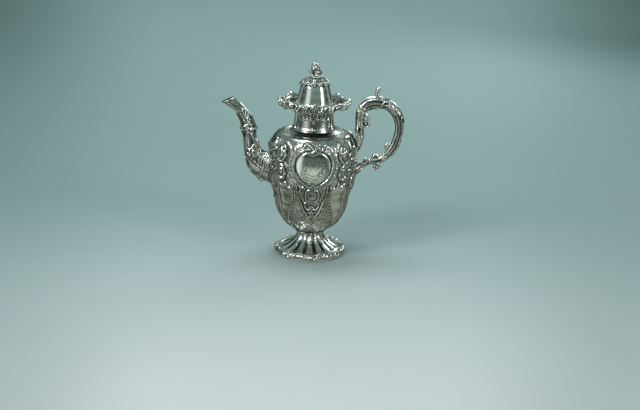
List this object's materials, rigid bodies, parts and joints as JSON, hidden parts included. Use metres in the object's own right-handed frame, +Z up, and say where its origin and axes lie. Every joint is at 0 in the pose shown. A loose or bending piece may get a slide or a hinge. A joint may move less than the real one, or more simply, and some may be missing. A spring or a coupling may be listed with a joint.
{
  "type": "silver coffee pot",
  "caption": "Baluster coffee pot in silver: domed foot, chased body, flared brim, swan-neck spout, scroll handle with ivory insulators and hinged bell lid.",
  "frame": {"origin": "middle of the foot's underside, on the surface that the pot stands on", "axes": "+Z up through the finial; -X to the spout and +X to the handle; the lid's hinge runs along Y"},
  "size_m": [0.3122, 0.149, 0.34],
  "materials": {
    "polished_silver": "polished silver, softly worn",
    "chased_silver": "embossed and chased silver with a matted ground",
    "cast_silver": "cast and chased silver, dark in the recesses",
    "plain_silver": "plain drawn silver",
    "ivory": "turned ivory, lightly polished"
  },
  "bodies": {
    "pot": {"foot_wire": "polished_silver", "foot_border": "cast_silver", "foot_dome": "polished_silver", "stem_collar": "cast_silver", "body_shell": "chased_silver", "neck_ring": "polished_silver", "neck": "chased_silver", "brim": "polished_silver", "brim_border": "cast_silver", "lid_seat": "polished_silver", "spout": "polished_silver", "spout_collar": "cast_silver", "upper_socket": "polished_silver", "upper_curl": "cast_silver", "upper_insulator": "ivory", "upper_pins": "plain_silver", "handle_grip": "polished_silver", "thumb_spur": "cast_silver", "lower_insulator": "ivory", "lower_pins": "plain_silver", "lower_socket": "polished_silver", "lower_curls": "cast_silver", "hinge_pot_knuckles": "polished_silver", "hinge_pin": "plain_silver"},
    "lid": {"hinge_lid_leaf": "polished_silver", "lid_bezel": "polished_silver", "lid_dome": "polished_silver", "lid_calyx": "cast_silver", "finial_knop": "polished_silver", "finial_leaves": "cast_silver", "finial_bud": "cast_silver", "finial_stud": "plain_silver", "finial_washer": "plain_silver", "finial_nut": "plain_silver"}
  },
  "joints": [
    {"name": "lid_hinge", "type": "hinge", "parent": "pot", "child": "lid", "pos_m": [0.0348, 0, 0.268], "axis": [0, 1, 0], "range_deg": [0, 80]}
  ]
}
